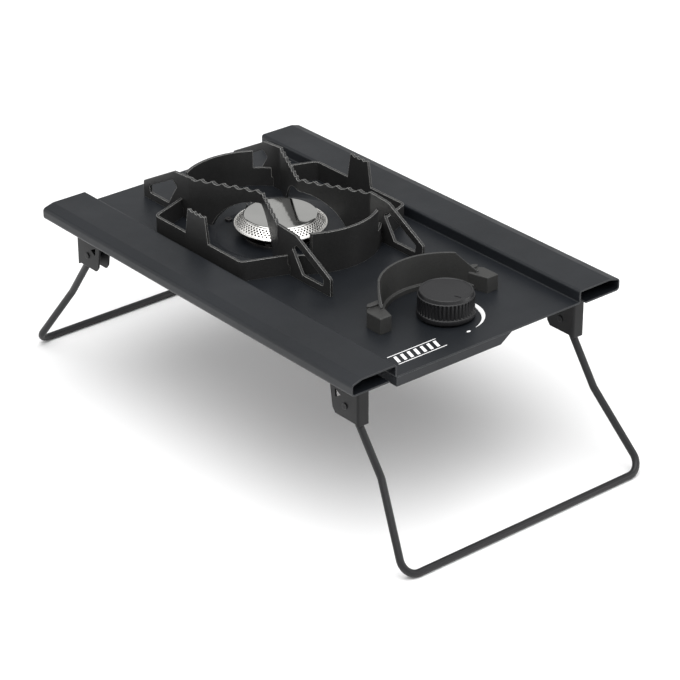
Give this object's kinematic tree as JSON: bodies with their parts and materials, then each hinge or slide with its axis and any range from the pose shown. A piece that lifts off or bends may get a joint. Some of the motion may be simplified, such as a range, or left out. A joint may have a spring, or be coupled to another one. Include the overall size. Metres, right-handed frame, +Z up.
{
  "type": "camping stove",
  "caption": "Low folding gas camping stove: recessed deck with rail sides, round burner under a toothed pot support, front control knob with a curved guard, and fold-out wire legs.",
  "frame": {"origin": "on the ground under the middle of the stove, with both wire legs open", "axes": "+X to the right of a user who faces the knob end, -Y to the front (the knob end), +Y to the rear, +Z up"},
  "size_m": [0.2476, 0.4504, 0.1653],
  "materials": {
    "deck_powder": "satin dark blue-grey powder coat",
    "bracket_powder": "satin dark powder coat",
    "guard_powder": "satin dark warm grey paint",
    "leg_powder": "satin dark grey coat on wire",
    "support_enamel": "satin black enamel with worn bright edges",
    "burner_stainless": "brushed stainless",
    "burner_dark_steel": "dark heat-tinted steel",
    "zinc_steel": "zinc-plated steel",
    "cast_aluminium": "die-cast aluminium",
    "valve_brass": "machined brass",
    "copper_pipe": null,
    "electrode_wire": "bright nickel steel wire",
    "knob_plastic": "fine-textured black plastic",
    "igniter_plastic": "black plastic",
    "lead_rubber": "red silicone sleeve",
    "seal_rubber": "black nitrile rubber",
    "gasket_fibre": "pressed fibre gasket",
    "ceramic_white": null
  },
  "bodies": {
    "stove_body": {"deck_panel": "deck_powder", "valve_pan": "deck_powder", "leg_bracket_front_left": "bracket_powder", "leg_bracket_front_right": "bracket_powder", "leg_bracket_rear_left": "bracket_powder", "leg_bracket_rear_right": "bracket_powder", "bracket_rivets": "bracket_powder", "leg_pivot_pins": "bracket_powder", "burner_chamber": "cast_aluminium", "burner_gasket": "gasket_fibre", "burner_bowl": "burner_dark_steel", "burner_band": "burner_stainless", "burner_cap": "burner_stainless", "burner_screws": "burner_dark_steel", "mixing_tube": "zinc_steel", "valve_body": "valve_brass", "jet_nozzle": "valve_brass", "knob_guard": "guard_powder", "guard_screws": "zinc_steel", "piezo_igniter": "igniter_plastic", "igniter_strap": "zinc_steel", "ignition_lead": "lead_rubber", "lead_clips": "zinc_steel", "electrode_ceramic": "ceramic_white", "electrode_tip": "electrode_wire", "electrode_bracket": "zinc_steel", "electrode_screw": "burner_dark_steel", "inlet_flange": "zinc_steel", "inlet_seal": "seal_rubber", "regulator_body": "cast_aluminium", "regulator_diaphragm": "seal_rubber", "regulator_spring": "electrode_wire", "regulator_cover": "cast_aluminium", "regulator_hanger": "zinc_steel", "gas_pipe": "copper_pipe"},
    "pot_support": {"pot_support_left": "support_enamel", "pot_support_right": "support_enamel", "wind_ring": "support_enamel"},
    "control_knob": {"knob": "knob_plastic", "knob_bush": "valve_brass", "valve_spindle": "valve_brass"},
    "front_leg": {"front_leg": "leg_powder"},
    "rear_leg": {"rear_leg": "leg_powder"}
  },
  "joints": [
    {"name": "knob_turn", "type": "hinge", "parent": "stove_body", "child": "control_knob", "pos_m": [0, -0.134, 0.14], "axis": [0, 0, 1], "range_deg": [0, 110]},
    {"name": "front_leg_fold", "type": "hinge", "parent": "stove_body", "child": "front_leg", "pos_m": [0, -0.151, 0.1025], "axis": [1, 0, 0], "range_deg": [0, 125]},
    {"name": "rear_leg_fold", "type": "hinge", "parent": "stove_body", "child": "rear_leg", "pos_m": [0, 0.151, 0.1025], "axis": [-1, 0, 0], "range_deg": [0, 125]},
    {"name": "support_lift", "type": "slide", "parent": "stove_body", "child": "pot_support", "axis": [0, 0, 1], "range_m": [0, 0.08]}
  ]
}
